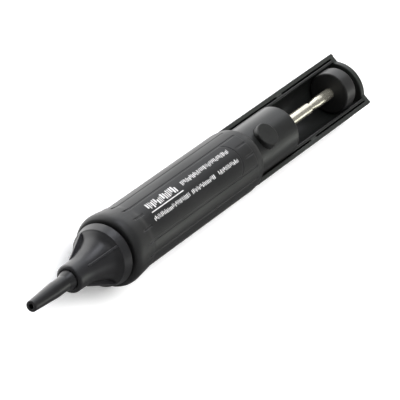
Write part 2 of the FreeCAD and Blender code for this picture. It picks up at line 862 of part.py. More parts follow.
def export_all():
    """Writes one STEP file for each sub-part."""
    os.makedirs("parts", exist_ok=True)
    for node in NODES:
        node.Shape.exportStep(os.path.join("parts", node.Label + ".step"))


make_nozzle()
make_nozzle_seal()
make_nozzle_retainer()
make_nose_cone()
make_nose_o_ring()
make_barrel()
make_pump_tube()
make_plunger_guard()
make_piston()
make_piston_o_ring()
make_piston_washer()
make_piston_nut()
make_cleaning_pin()
make_main_spring()
make_plunger_rod()
make_plunger_knob()
make_bumper_washer()
make_rod_guide_bush()
make_bush_circlip()
make_latch_carrier()
make_carrier_screw()
make_latch_plate()
make_release_button()
make_button_spring()

document.recompute()
problems = find_faults()
if problems:
    raise ValueError("failed: " + ", ".join(problems))
export_all()
for node in NODES:
    box = node.Shape.BoundBox
    print(f"{node.Label:18s} {node.Shape.Volume:9.2f} mm3  solids {len(node.Shape.Solids)}  "
          f"x {box.XMin:7.2f} {box.XMax:7.2f}  y {box.YMin:6.2f} {box.YMax:6.2f}  "
          f"z {box.ZMin:6.2f} {box.ZMax:6.2f}")
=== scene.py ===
"""Looks of the desoldering pump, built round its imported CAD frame.

Stations are distances in millimetres from the nozzle's tip along the pump's axis, as in the CAD
source, and radii are from that axis. A point at height 0 here is on the axis.
"""

import json
import math

import bmesh
import bpy
import numpy as np
from mathutils import Matrix, Vector


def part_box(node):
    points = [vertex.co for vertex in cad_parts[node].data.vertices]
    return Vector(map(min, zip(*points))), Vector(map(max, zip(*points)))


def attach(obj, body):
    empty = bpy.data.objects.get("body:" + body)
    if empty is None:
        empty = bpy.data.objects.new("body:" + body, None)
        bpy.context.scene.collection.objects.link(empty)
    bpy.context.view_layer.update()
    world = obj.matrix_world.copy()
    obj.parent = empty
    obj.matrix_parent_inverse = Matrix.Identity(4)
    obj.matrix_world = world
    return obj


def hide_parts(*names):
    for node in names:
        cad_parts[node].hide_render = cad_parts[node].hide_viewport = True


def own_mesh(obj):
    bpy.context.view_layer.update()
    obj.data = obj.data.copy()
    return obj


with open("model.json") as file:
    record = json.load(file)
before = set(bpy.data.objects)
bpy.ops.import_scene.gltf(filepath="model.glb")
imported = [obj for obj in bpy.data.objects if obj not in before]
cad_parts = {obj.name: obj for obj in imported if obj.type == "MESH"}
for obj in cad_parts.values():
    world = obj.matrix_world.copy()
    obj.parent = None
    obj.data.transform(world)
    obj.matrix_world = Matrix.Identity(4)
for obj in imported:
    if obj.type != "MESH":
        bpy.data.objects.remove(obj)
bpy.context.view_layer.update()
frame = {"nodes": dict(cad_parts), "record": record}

MM = 0.001
TIP_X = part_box("nozzle")[0].x
AXIS_Z = (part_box("barrel")[0].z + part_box("barrel")[1].z) / 2
TURN = 2 * math.pi


def size_of(node, axis):
    """How long a CAD node is along one axis, in millimetres."""
    low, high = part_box(node)
    return (high[axis] - low[axis]) / MM


def station_of(node, end):
    """Station of a CAD node's front (end 0) or rear (end 1), in millimetres from the tip."""
    return (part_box(node)[end].x - TIP_X) / MM


# Sizes read from the frame, in millimetres. Two are a hair smaller, to stay inside the CAD shape.
COLLAR_R = size_of("barrel", 1) / 2 - 0.02
BARREL_FRONT = station_of("barrel", 0)
BARREL_REAR = station_of("barrel", 1)
TUBE_FRONT = station_of("pump_tube", 0)
TUBE_R = size_of("pump_tube", 1) / 2
TROUGH_END = station_of("pump_tube", 1)
GUARD_FRONT = station_of("plunger_guard", 0)
GUARD_END = station_of("plunger_guard", 1) - 0.01
GUARD_R = size_of("plunger_guard", 1) / 2
BUTTON_STATION = (station_of("release_button", 0) + station_of("release_button", 1)) / 2
BUTTON_R = size_of("release_button", 0) / 2
KNOB_FRONT = station_of("plunger_knob", 0)
KNOB_REAR = station_of("plunger_knob", 1)
KNOB_R = size_of("plunger_knob", 1) / 2
SPRING_FRONT = station_of("main_spring", 0)
SPRING_REAR = station_of("main_spring", 1)

# Sizes that the frame's boxes don't give, in millimetres and radians.
NOSE_LEAN = math.radians(6.0)
THREAD_R = 9.48
THREAD_WIRE_R = 0.24
THREAD_LEAD = 3.0
BARREL_R = 11.24
COLLAR_FOOT = 54.0
SPIGOT_SEAT_R = 9.8
TUBE_SEAT_R = 9.02
FLUTES = 16
FLUTE_PITCH = TURN / FLUTES
FLUTE_FRONT = 47.2
FLUTE_DEPTH = 0.15
FLUTE_HALF_WIDTH = 0.36
PANEL_FRONT = 53.6
PANEL_REAR = 107.6
PANEL_HALF_ANGLE = 1.5 * FLUTE_PITCH
PANEL_END_LENGTH = 4.4
PANEL_CLEAR = 1.4
OUTLINE_DEPTH = 0.16
OUTLINE_HALF_WIDTH = 0.2
CHAMFER = 114.6
CREASE_DEPTH = 0.05
CREASE_HALF_WIDTH = 0.15
INK_SUNK = 0.03
INK_PROUD = 0.025
INK_CORNER = 0.16
RIM = 144.4
TUBE_WALL = 1.0
BUTTON_HOLE_R = 4.42
GUARD_WALL = 1.4
LUG_FRONT = 155.9
LUG_REAR = 159.3


# ---------------------------------------------------------------- outlines

def rounded(corners, steps=5):
    """A closed outline from corners (along, out, radius), with each corner rounded off."""
    most = 0.8  # share of the edge on either side that one corner may take up
    points = []
    count = len(corners)
    for index, (along, out, radius) in enumerate(corners):
        corner = Vector((along, out))
        before = Vector(corners[index - 1][:2]) - corner
        after = Vector(corners[(index + 1) % count][:2]) - corner
        if radius <= 0:
            points.append(corner)
            continue
        half = before.angle(after) / 2
        reach = min(radius / math.tan(half), before.length * most, after.length * most)
        start = corner + before.normalized() * reach
        end = corner + after.normalized() * reach
        for step in range(steps + 1):
            share = step / steps
            points.append(start.lerp(corner, share).lerp(corner.lerp(end, share), share))
    return [(point.x, point.y) for point in points]


def smooth_line(points, steps=8):
    """Points along a Catmull-Rom curve through the given points."""
    padded = [points[0]] + points + [points[-1]]
    line = []
    for index in range(1, len(padded) - 2):
        a, b, c, d = (Vector(point) for point in padded[index - 1:index + 3])
        for step in range(steps):
            t = step / steps
            line.append(0.5 * ((2 * b) + (c - a) * t + (2 * a - 5 * b + 4 * c - d) * t * t
                               + (3 * b - a - 3 * c + d) * t ** 3))
    line.append(Vector(points[-1]))
    return [(point.x, point.y) for point in line]


def supported(outline):
    """The outline with extra points beside the ends of long edges, which keeps flat faces flat."""
    longest = 0.7
    gap = 0.12
    points = []
    for index, point in enumerate(outline):
        here = Vector(point)
        ahead = Vector(outline[(index + 1) % len(outline)])
        points.append((here.x, here.y))
        length = (ahead - here).length
        if length > longest:
            for share in (gap / length, 1 - gap / length):
                spot = here.lerp(ahead, share)
                points.append((spot.x, spot.y))
    return points


# ---------------------------------------------------------------- meshes

def on_axis(station, across, up):
    """A point in the row frame from a station, a distance across and a height above the axis."""
    return Vector((TIP_X + station * MM, across * MM, AXIS_Z + up * MM))


def new_piece(name, bm, sharp_degrees=35.0):
    """Turns a bmesh into a smooth-shaded object whose hard edges stay crisp."""
    bmesh.ops.remove_doubles(bm, verts=bm.verts, dist=1e-7)
    bmesh.ops.recalc_face_normals(bm, faces=bm.faces)
    mesh = bpy.data.meshes.new(name)
    bm.to_mesh(mesh)
    bm.free()
    mesh.shade_smooth()
    mesh.set_sharp_from_angle(angle=math.radians(sharp_degrees))
    piece = bpy.data.objects.new(name, mesh)
    bpy.context.scene.collection.objects.link(piece)
    return piece


def round_pump_axis(along, angle, out):
    """Places a turned point round the pump's axis; along is a station, angle 0 is straight up."""
    return on_axis(along, out * math.sin(angle), out * math.cos(angle))


def round_button_axis(along, angle, out):
    """Places a turned point round the button's upright axis; along is a height."""
    return on_axis(BUTTON_STATION + out * math.cos(angle), out * math.sin(angle), along)


def bridge(bm, near, far):
    """Joins two rings by a band of faces; one of the rings may be a single point."""
    count = max(len(near), len(far))
    for k in range(count):
        following = (k + 1) % count
        corners = [near[k % len(near)], near[following % len(near)],
                   far[following % len(far)], far[k % len(far)]]
        bm.faces.new(list(dict.fromkeys(corners)))


def turned(name, outline, segments=160, place=round_pump_axis):
    """A piece made by turning a closed outline of (along, radius) once round an axis."""
    bm = bmesh.new()
    rings = []
    for along, out in supported(outline):
        count = 1 if out < 1e-6 else segments
        rings.append([bm.verts.new(place(along, TURN * k / count, out)) for k in range(count)])
    for near, far in zip(rings, rings[1:] + rings[:1]):
        if len(near) > 1 or len(far) > 1:
            bridge(bm, near, far)
    return new_piece(name, bm)


def add_prism(bm, outline, low, high, place):
    """Adds a closed outline extruded between two levels; place(a, b, level) gives the point."""
    bottom = [bm.verts.new(place(a, b, low)) for a, b in outline]
    top = [bm.verts.new(place(a, b, high)) for a, b in outline]
    bm.faces.new(list(reversed(bottom)))
    bm.faces.new(top)
    bridge(bm, bottom, top)


def add_tube(bm, path, wire_r, sides=12):
    """Adds a round wire along a path of points given in the row frame."""
    count = len(path)
    rings = []
    for index, point in enumerate(path):
        ahead = path[min(index + 1, count - 1)] - path[max(index - 1, 0)]
        ahead.normalize()
        side = ahead.cross(Vector((1, 0, 0)))
        if side.length < 0.1:
            side = ahead.cross(Vector((0, 0, 1)))
        side.normalize()
        rise = ahead.cross(side)
        rings.append([bm.verts.new(point + (side * math.cos(TURN * k / sides)
                                            + rise * math.sin(TURN * k / sides)) * wire_r * MM)
                      for k in range(sides)])
    for near, far in zip(rings, rings[1:]):
        bridge(bm, near, far)
    bm.faces.new(list(reversed(rings[0])))
    bm.faces.new(rings[-1])


def settle(piece):
    """Applies a piece's modifiers, so that the mesh itself has the final shape."""
    bpy.context.view_layer.update()
    graph = bpy.context.evaluated_depsgraph_get()
    mesh = bpy.data.meshes.new_from_object(piece.evaluated_get(graph))
    old = piece.data
    piece.modifiers.clear()
    piece.data = mesh
    mesh.name = piece.name
    bpy.data.meshes.remove(old)


def cut_away(piece, cutter):
    """Cuts the cutter's shape out of a piece and removes the cutter."""
    cut = piece.modifiers.new("cut", "BOOLEAN")
    cut.operation = "DIFFERENCE"
    cut.solver = "EXACT"
    cut.object = cutter
    settle(piece)
    bpy.data.objects.remove(cutter)


def soften(piece, width, segments=3, limit_degrees=50.0):
    """Rounds the hard edges of a piece and keeps its flat faces flat."""
    edge = piece.modifiers.new("soften", "BEVEL")
    edge.width = width * MM
    edge.segments = segments
    edge.limit_method = "ANGLE"
    edge.angle_limit = math.radians(limit_degrees)
    edge.use_clamp_overlap = True
    settle(piece)
    piece.data.shade_smooth()
    piece.data.set_sharp_from_angle(angle=math.radians(limit_degrees))
    flatten = piece.modifiers.new("flatten", "WEIGHTED_NORMAL")
    flatten.keep_sharp = True
    flatten.weight = 80
    settle(piece)


def fit(piece, body, slot, material, *nodes):
    """Puts a piece on its CAD body, gives it its material and hides the CAD nodes it replaces."""
    piece.data.materials.clear()
    piece.data.materials.append(material)
    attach(piece, body)
    if nodes:
        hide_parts(*nodes)
    return piece


# ---------------------------------------------------------------- materials

class Nodes:
    """A small helper that adds shader nodes to one material."""

    def __init__(self, name):
        self.material = bpy.data.materials.new(name)
        self.material.use_nodes = True
        self.tree = self.material.node_tree
        self.shader = self.tree.nodes["Principled BSDF"]
        self.place = self.add("ShaderNodeTexCoord").outputs["Object"]

    def add(self, kind, **values):
        """Adds a node and sets its inputs by name."""
        node = self.tree.nodes.new(kind)
        for name, value in values.items():
            node.inputs[name.replace("_", " ")].default_value = value
        return node

    def join(self, output, node, name):
        """Links an output to a named input."""
        self.tree.links.new(output, node.inputs[name])

    def stretched(self, scale):
        """Object coordinates scaled differently along each axis."""
        mapping = self.add("ShaderNodeMapping")
        mapping.inputs["Scale"].default_value = scale
        self.join(self.place, mapping, "Vector")
        return mapping.outputs["Vector"]

    def noise(self, scale, detail, roughness=0.55, vector=None):
        """Fractal noise over the piece; returns its value."""
        node = self.add("ShaderNodeTexNoise", Scale=scale, Detail=detail, Roughness=roughness)
        self.join(vector or self.place, node, "Vector")
        return node.outputs["Fac"]

    def spread(self, value, low, high, source_low=0.35, source_high=0.65):
        """Maps a value from its source range onto low to high; the usual source is a noise."""
        node = self.add("ShaderNodeMapRange", From_Min=source_low, From_Max=source_high,
                        To_Min=low, To_Max=high)
        self.join(value, node, "Value")
        return node.outputs["Result"]

    def blend(self, share, first, second):
        """Mixes two colours, or a colour and an output, by a share."""
        node = self.tree.nodes.new("ShaderNodeMix")
        node.data_type = "RGBA"
        self.tree.links.new(share, node.inputs[0])
        for socket, value in ((node.inputs[6], first), (node.inputs[7], second)):
            if isinstance(value, bpy.types.NodeSocket):
                self.tree.links.new(value, socket)
            else:
                socket.default_value = (*value, 1.0)
        return node.outputs[2]

    def bump(self, heights):
        """Chains bumps, each given as (height output, strength, distance in metres)."""
        previous = None
        for height, strength, distance in heights:
            node = self.add("ShaderNodeBump", Strength=strength, Distance=distance)
            self.join(height, node, "Height")
            if previous is not None:
                self.join(previous, node, "Normal")
            previous = node.outputs["Normal"]
        self.join(previous, self.shader, "Normal")

    def edges(self):
        """A share that is 1 along hard edges, over about 0.4 mm, and 0 on open faces."""
        rounding = self.add("ShaderNodeBevel", Radius=0.4 * MM)
        rounding.samples = 4
        geometry = self.tree.nodes.new("ShaderNodeNewGeometry")
        likeness = self.tree.nodes.new("ShaderNodeVectorMath")
        likeness.operation = "DOT_PRODUCT"
        self.tree.links.new(rounding.outputs["Normal"], likeness.inputs[0])
        self.tree.links.new(geometry.outputs["Normal"], likeness.inputs[1])
        return self.spread(likeness.outputs["Value"], 1.0, 0.0, 0.90, 0.99)


def moulded_plastic(name, dark, light, roughness, grain_strength=0.25, specular=0.5):
    """Moulded black plastic: fine grain, cloudy gloss, faint handling marks, edges painted lighter
    (part wear, part painted highlight).
    """
    nodes = Nodes(name)
    clouds = nodes.noise(55.0, 3.0)
    grain = nodes.noise(2600.0, 2.0, 0.6)
    streaks = nodes.noise(160.0, 3.0, 0.6, nodes.stretched((0.15, 1.0, 1.0)))
    tone = nodes.blend(nodes.spread(clouds, 0.0, 1.0), dark, light)
    # Edges and creases painted lighter: partly rubbed wear, partly a painted highlight standing in
    # for the glints along rims.
    rubbed_and_highlit = tuple(level * 1.6 + 0.007 for level in light)
    tone = nodes.blend(nodes.edges(), tone, rubbed_and_highlit)
    nodes.join(tone, nodes.shader, "Base Color")
    gloss = nodes.spread(streaks, roughness - 0.05, roughness + 0.06)
    nodes.join(gloss, nodes.shader, "Roughness")
    nodes.shader.inputs["Specular IOR Level"].default_value = specular
    nodes.bump([(streaks, 0.04, 0.00005), (grain, grain_strength, 0.00002)])
    return nodes.material


def plated_metal(name, tint, roughness, metallic=1.0):
    """Bright metal with fine turning marks round it and a slight haze."""
    nodes = Nodes(name)
    turning = nodes.noise(900.0, 2.0, 0.5, nodes.stretched((6.0, 0.2, 0.2)))
    haze = nodes.noise(240.0, 4.0)
    dull = tuple(level * 0.86 for level in tint)
    nodes.join(nodes.blend(nodes.spread(haze, 0.0, 1.0), tint, dull), nodes.shader, "Base Color")
    nodes.shader.inputs["Metallic"].default_value = metallic
    nodes.join(nodes.spread(haze, roughness * 0.8, roughness * 1.3), nodes.shader, "Roughness")
    nodes.bump([(turning, 0.05, 0.00001)])
    return nodes.material


def rubber(name):
    """Matte black rubber with a dusty bloom."""
    nodes = Nodes(name)
    bloom = nodes.noise(380.0, 5.0)
    nodes.join(nodes.blend(nodes.spread(bloom, 0.0, 1.0), (0.012, 0.012, 0.012),
                           (0.035, 0.034, 0.032)), nodes.shader, "Base Color")
    nodes.join(nodes.spread(bloom, 0.55, 0.75), nodes.shader, "Roughness")
    nodes.bump([(bloom, 0.15, 0.00002)])
    return nodes.material


def acetal(name):
    """Natural white acetal: slightly translucent, with faint machining rings."""
    nodes = Nodes(name)
    rings = nodes.noise(700.0, 2.0, 0.5, nodes.stretched((5.0, 0.3, 0.3)))
    clouds = nodes.noise(120.0, 3.0)
    nodes.join(nodes.blend(nodes.spread(clouds, 0.0, 1.0), (0.78, 0.77, 0.72),
                           (0.66, 0.65, 0.6)), nodes.shader, "Base Color")
    nodes.join(nodes.spread(clouds, 0.32, 0.45), nodes.shader, "Roughness")
    nodes.shader.inputs["Subsurface Weight"].default_value = 0.1
    nodes.shader.inputs["Subsurface Scale"].default_value = 0.001
    nodes.bump([(rings, 0.08, 0.00002)])
    return nodes.material


def ink(name):
    """Off-white pad print, a little thin and broken where fingers rub it."""
    nodes = Nodes(name)
    wear = nodes.noise(900.0, 5.0, 0.65)
    nodes.join(nodes.blend(nodes.spread(wear, 0.0, 1.0, 0.3, 0.42), (0.26, 0.26, 0.26),
                           (0.60, 0.60, 0.60)), nodes.shader, "Base Color")
    nodes.join(nodes.spread(wear, 0.6, 0.42), nodes.shader, "Roughness")
    nodes.bump([(wear, 0.1, 0.00001)])
    return nodes.material


GRIP = moulded_plastic("grip_plastic", (0.0075, 0.0077, 0.0080), (0.0110, 0.0110, 0.0112), 0.42)
NOSE = moulded_plastic("nose_plastic", (0.0075, 0.0075, 0.0085), (0.0100, 0.0100, 0.0115), 0.36,
                       grain_strength=0.12, specular=0.7)
NOZZLE = moulded_plastic("nozzle_plastic", (0.007, 0.007, 0.0075), (0.010, 0.010, 0.0105), 0.32,
                         grain_strength=0.15, specular=0.6)
TUBE = moulded_plastic("tube_plastic", (0.0080, 0.0085, 0.0082), (0.0115, 0.0120, 0.0117), 0.34)
GUARD = moulded_plastic("guard_plastic", (0.0120, 0.0135, 0.0120), (0.0170, 0.0190, 0.0170), 0.46)
BUTTON = moulded_plastic("button_plastic", (0.009, 0.0095, 0.009), (0.013, 0.0135, 0.0125), 0.42)
KNOB = moulded_plastic("knob_plastic", (0.0100, 0.0100, 0.0100), (0.0140, 0.0140, 0.0140), 0.38)
ROD = plated_metal("plated_rod", (0.86, 0.82, 0.69), 0.22, 0.90)
STEEL = plated_metal("bright_steel", (0.62, 0.62, 0.62), 0.28)
SPRING = plated_metal("spring_steel", (0.42, 0.42, 0.44), 0.30)
RUBBER = rubber("black_rubber")
ACETAL = acetal("white_acetal")
INK = ink("print_ink")


# ---------------------------------------------------------------- nose

def make_nozzle():
    """Tapered nozzle with a rounded lip, a small collar at the nose and a rear flange."""
    outline = rounded([
        (0.0, 0.9, 0.12), (0.0, 1.87, 0.35), (12.0, 2.6, 2.5), (17.4, 2.6, 1.1),
        (19.7, 3.3, 0.5), (27.0, 3.3, 0.0), (27.0, 4.1, 0.2), (29.0, 4.1, 0.2),
        (29.0, 1.3, 0.1), (12.0, 1.3, 0.0), (12.0, 0.9, 0.0),
    ])
    fit(turned("nozzle_skin", outline, 96), "nose", "nozzle_plastic", NOZZLE, "nozzle")


def nose_profile():
    """Outline of the bell, its band, the spigot with its ring groove, and the inside."""
    bell = smooth_line([(22.4, 4.71), (24.6, 4.76), (26.8, 5.0), (29.0, 5.48), (32.2, 6.4),
                        (34.9, 7.65), (36.3, 9.1)])
    front = rounded([(27.0, 3.4, 0.0), (20.0, 3.4, 0.3), (20.0, 4.7, 1.1), (22.3, 4.71, 0.0)])
    band = rounded([(36.6, 9.4, 0.0), (36.75, 9.78, 0.3), (40.0, 10.6, 0.25), (40.0, 9.5, 0.15),
                    (41.0, 9.5, 0.1), (41.0, 8.1, 0.1), (42.9, 8.1, 0.1), (42.9, 9.5, 0.1),
                    (46.5, 9.5, 0.3), (46.5, 7.1, 0.2), (36.0, 7.1, 0.2), (36.0, 4.2, 0.2),
                    (27.0, 4.2, 0.2)])
    return front + bell + band


def make_nose_cone():
    """Bell-shaped nose with four thin finger wings."""
    fit(turned("nose_skin", nose_profile(), 192), "nose", "nose_plastic", NOSE, "nose_cone")
    wing = rounded([(25.5, 4.3, 0.0), (25.6, 5.05, 0.35), (35.9, 9.6, 0.5), (36.9, 9.6, 0.2),
                    (36.9, 7.7, 0.0), (32.0, 5.6, 0.0)], 3)
    half_width = 0.34
    bm = bmesh.new()
    for quarter in range(4):
        angle = quarter * TURN / 4 - NOSE_LEAN
        across = Vector((0, math.cos(angle), -math.sin(angle)))
        outward = Vector((0, math.sin(angle), math.cos(angle)))

        def place(along, out, level, across=across, outward=outward):
            return on_axis(along, 0, 0) + (outward * out + across * level) * MM

        add_prism(bm, wing, -half_width, half_width, place)
    wings = new_piece("nose_wings", bm)
    soften(wings, 0.2)
    fit(wings, "nose", "nose_plastic", NOSE)


def make_nose_thread():
    """Two-start ridge on the spigot, seen when the nose is screwed off."""
    front = 43.7
    turns = 0.8
    steps = 60
    bm = bmesh.new()
    for start in range(2):
        path = []
        for step in range(steps + 1):
            turn = turns * step / steps
            path.append(round_pump_axis(front + THREAD_LEAD * turn, TURN * (turn + start / 2),
                                        THREAD_R))
        add_tube(bm, path, THREAD_WIRE_R, 10)
    fit(new_piece("nose_thread_ridge", bm), "nose", "nose_plastic", NOSE)


# ---------------------------------------------------------------- barrel

def barrel_profile():
    """Outer profile of the barrel from its front face to its rear face, as (station, radius)."""
    collar = smooth_line([(BARREL_FRONT, 10.9), (41.15, 11.38), (41.7, 11.82), (42.6, 12.16),
                          (43.6, COLLAR_R), (44.7, 12.24), (46.4, 12.05), (48.3, 11.82),
                          (50.2, 11.62), (52.0, 11.31), (COLLAR_FOOT, BARREL_R)], 6)
    coarse, fine = 2.4, 0.13
    plain = [COLLAR_FOOT + coarse * step for step in range(1, 20)]
    plain += [PANEL_REAR - 5.4 + fine * step for step in range(52)]
    plain += [111.0, 113.0, CHAMFER - 0.3, CHAMFER - 0.2, CHAMFER]
    chamfer = smooth_line([(CHAMFER + 0.1, 11.2), (116.2, 11.08), (117.5, 10.92), (118.3, 10.66),
                           (118.75, 10.38), (BARREL_REAR, 9.95)], 5)
    known = sorted(collar + [(station, BARREL_R) for station in plain] + chamfer)
    stations, radii = zip(*known)
    between = [FLUTE_FRONT - 0.4 + 0.3 * step for step in range(10)]
    between += [PANEL_FRONT + offset for offset in (-0.3, -0.1, 0.1, 0.3)]
    filled = [(station, float(np.interp(station, stations, radii))) for station in between]
    return sorted(set(known + filled))


def barrel_angles():
    """Angles round the barrel, closer together where a flute or the panel's outline lies."""
    flute_step = 0.008
    panel_steps = 96
    closest = 0.0015
    angles = []
    for flute in range(FLUTES):
        centre = (flute + 0.5) * FLUTE_PITCH
        angles += [centre + flute_step * step for step in range(-6, 7)]
        angles += [centre + share * FLUTE_PITCH for share in (0.3, 0.5, 0.7)]
    angles += [-PANEL_HALF_ANGLE + 2 * PANEL_HALF_ANGLE * step / panel_steps
               for step in range(panel_steps + 1)]
    kept = []
    for angle in sorted({round(angle % TURN, 6) for angle in angles}):
        if not kept or angle - kept[-1] > closest:
            kept.append(angle)
    return kept


def ramp(value, low, high):
    """0 below low, 1 above high and smooth between."""
    share = min(1.0, max(0.0, (value - low) / (high - low)))
    return share * share * (3 - 2 * share)


def channel(distance, half_width):
    """Share of full depth at a distance from the middle of a groove, in millimetres."""
    edge = 0.1
    return 1.0 - ramp(abs(distance), half_width - edge, half_width + edge)


def groove_depth(station, angle):
    """Depth of the fine flutes, the crease at the chamfer and the panel's rear outline."""
    lean = (angle + math.pi) % TURN - math.pi
    across = lean * BARREL_R
    sector = math.floor(lean / FLUTE_PITCH)
    from_flute = (lean / FLUTE_PITCH - sector - 0.5) * FLUTE_PITCH * BARREL_R
    short, gentle = 0.3, 2.4
    run = ramp(station, FLUTE_FRONT - short, FLUTE_FRONT + gentle)
    run *= 1.0 - ramp(station, CHAMFER - short, CHAMFER)
    on_panel = sector in (-1, 0) and PANEL_FRONT < station < PANEL_REAR + PANEL_CLEAR
    depth = 0.0 if on_panel else FLUTE_DEPTH * channel(from_flute, FLUTE_HALF_WIDTH) * run
    depth = max(depth, CREASE_DEPTH * channel(station - CHAMFER, CREASE_HALF_WIDTH))
    # The panel's rear outline is half an ellipse; reach is 1 on it.
    half_panel = PANEL_HALF_ANGLE * BARREL_R
    behind = station - (PANEL_REAR - PANEL_END_LENGTH)
    if behind > 0 and abs(across) < half_panel:
        reach = math.hypot(behind / PANEL_END_LENGTH, across / half_panel)
        slope = math.hypot(behind / PANEL_END_LENGTH ** 2, across / half_panel ** 2) / reach
        depth = max(depth, OUTLINE_DEPTH * channel((reach - 1.0) / slope, OUTLINE_HALF_WIDTH))
    return depth


def make_barrel():
    """Fluted barrel with a thick collar, a plain label panel and a chamfered rear end."""
    outer = barrel_profile()
    inner = [(BARREL_REAR, TUBE_SEAT_R), (TUBE_FRONT, TUBE_SEAT_R), (TUBE_FRONT, SPIGOT_SEAT_R),
             (BARREL_FRONT, SPIGOT_SEAT_R)]
    angles = barrel_angles()
    sink = 0.55  # share of the collar's height over the barrel that a flute cuts away too
    bm = bmesh.new()
    rings = []
    for index, (station, radius) in enumerate(outer + inner):
        carved = 0 < index < len(outer) - 1
        ring = []
        for angle in angles:
            depth = groove_depth(station, angle) if carved else 0.0
            over = max(0.0, radius - BARREL_R) * ramp(depth, 0.05, 0.2)
            ring.append(bm.verts.new(round_pump_axis(station, angle,
                                                     radius - depth - over * sink)))
        rings.append(ring)
    for near, far in zip(rings, rings[1:] + rings[:1]):
        bridge(bm, near, far)
    fit(new_piece("barrel_skin", bm, 42.0), "pump_body", "grip_plastic", GRIP, "barrel")


def add_print_block(bm, front, rear, low, high):
    """Adds one rounded block of ink on the barrel's curve, between two stations and two arcs."""
    rows = 6
    layers = []
    for radius in (BARREL_R - INK_SUNK, BARREL_R + INK_PROUD):
        grid = []
        for row in range(rows + 1):
            share = 0.5 - 0.5 * math.cos(math.pi * row / rows)
            arc = low + (high - low) * share
            gap = max(0.0, INK_CORNER - min(arc - low, high - arc))
            inset = INK_CORNER - math.sqrt(max(0.0, INK_CORNER ** 2 - gap ** 2))
            grid.append([bm.verts.new(round_pump_axis(station, arc / BARREL_R, radius))
                         for station in (front + inset, rear - inset)])
        layers.append(grid)
    bottom, upper = layers
    for row in range(rows):
        for grid in (bottom, upper):
            bm.faces.new([grid[row][0], grid[row][1], grid[row + 1][1], grid[row + 1][0]])
        for side in (0, 1):
            bm.faces.new([bottom[row][side], bottom[row + 1][side],
                          upper[row + 1][side], upper[row][side]])
    for row in (0, rows):
        bm.faces.new([bottom[row][0], bottom[row][1], upper[row][1], upper[row][0]])


def make_panel_print():
    """Plain printed bars and dashes on the label panel, in place of any lettering."""
    bm = bmesh.new()
    # Each row: front and rear station, lower and upper arc, nominal bar width, gap between bars.
    rows = [
        (57.2, 74.0, 1.75, 4.6, 1.25, 0.42),
        (77.0, 105.2, 2.3, 4.1, 0.68, 0.36),
        (56.2, 76.8, -1.95, -0.35, 0.62, 0.36),
        (78.2, 91.8, -1.95, -0.35, 0.62, 0.36),
        (94.2, 106.0, -1.95, -0.35, 0.62, 0.36),
    ]
    underline = (57.0, 75.4, 0.85, 1.2)
    narrowest, wider = 0.25, 0.5  # shares of the nominal width
    shorter = 0.35  # largest share of its height that a bar may lack
    chance = np.random.default_rng(7)
    for front, rear, low, high, width, gap in rows:
        station = front
        while station < rear - 0.2:
            length = width * (narrowest + wider * chance.random())
            missing = (high - low) * shorter * chance.random()
            from_top = chance.random() < 0.5
            bottom = low if from_top else low + missing
            top = high - missing if from_top else high
            add_print_block(bm, station, min(station + length, rear), bottom, top)
            station += length + gap
    add_print_block(bm, *underline)
    fit(new_piece("panel_print", bm), "pump_body", "grip_plastic", INK)


# ---------------------------------------------------------------- tube, guard, button

def arc_points(radius, start, end, steps):
    """(across, up) points on a circle round the axis; angles in degrees from straight up."""
    points = []
    for step in range(steps + 1):
        angle = math.radians(start + (end - start) * step / steps)
        points.append((radius * math.sin(angle), radius * math.cos(angle)))
    return points


def half_turned(name, outline):
    """A piece made by turning an outline of (station, radius) through the lower half turn."""
    steps = 72
    bm = bmesh.new()
    rings = []
    for step in range(steps + 1):
        angle = TURN * (0.25 + 0.5 * step / steps)
        rings.append([bm.verts.new(round_pump_axis(along, angle, out)) for along, out in outline])
    for near, far in zip(rings, rings[1:]):
        bridge(bm, near, far)
    bm.faces.new(rings[0])
    bm.faces.new(list(reversed(rings[-1])))
    return new_piece(name, bm)


def extruded(name, outline, front, rear):
    """A piece with the same section from one station to another."""
    bm = bmesh.new()
    add_prism(bm, outline, front, rear, lambda across, up, station: on_axis(station, across, up))
    return new_piece(name, bm)


def make_pump_tube():
    """Smooth tube with the button's hole, a rounded rim and the trough behind it."""
    inner_r = TUBE_R - TUBE_WALL
    section = rounded([(TUBE_FRONT, inner_r, 0.0), (TUBE_FRONT, TUBE_R, 0.2),
                       (RIM, TUBE_R, 0.8), (RIM, inner_r, 0.12)], 8)
    tube = turned("tube_skin", section)
    bottom, top = 3.0, 14.0
    hole = turned("cut_hole", [(bottom, 0.0), (bottom, BUTTON_HOLE_R), (top, BUTTON_HOLE_R),
                               (top, 0.0)], 96, round_button_axis)
    cut_away(tube, hole)
    soften(tube, 0.22)
    fit(tube, "pump_body", "tube_plastic", TUBE, "pump_tube")
    lap = 1.2
    trough = half_turned("trough_skin", [(RIM - lap, inner_r), (RIM - lap, TUBE_R),
                                         (TROUGH_END, TUBE_R), (TROUGH_END, inner_r)])
    soften(trough, 0.3)
    fit(trough, "pump_body", "tube_plastic", TUBE)


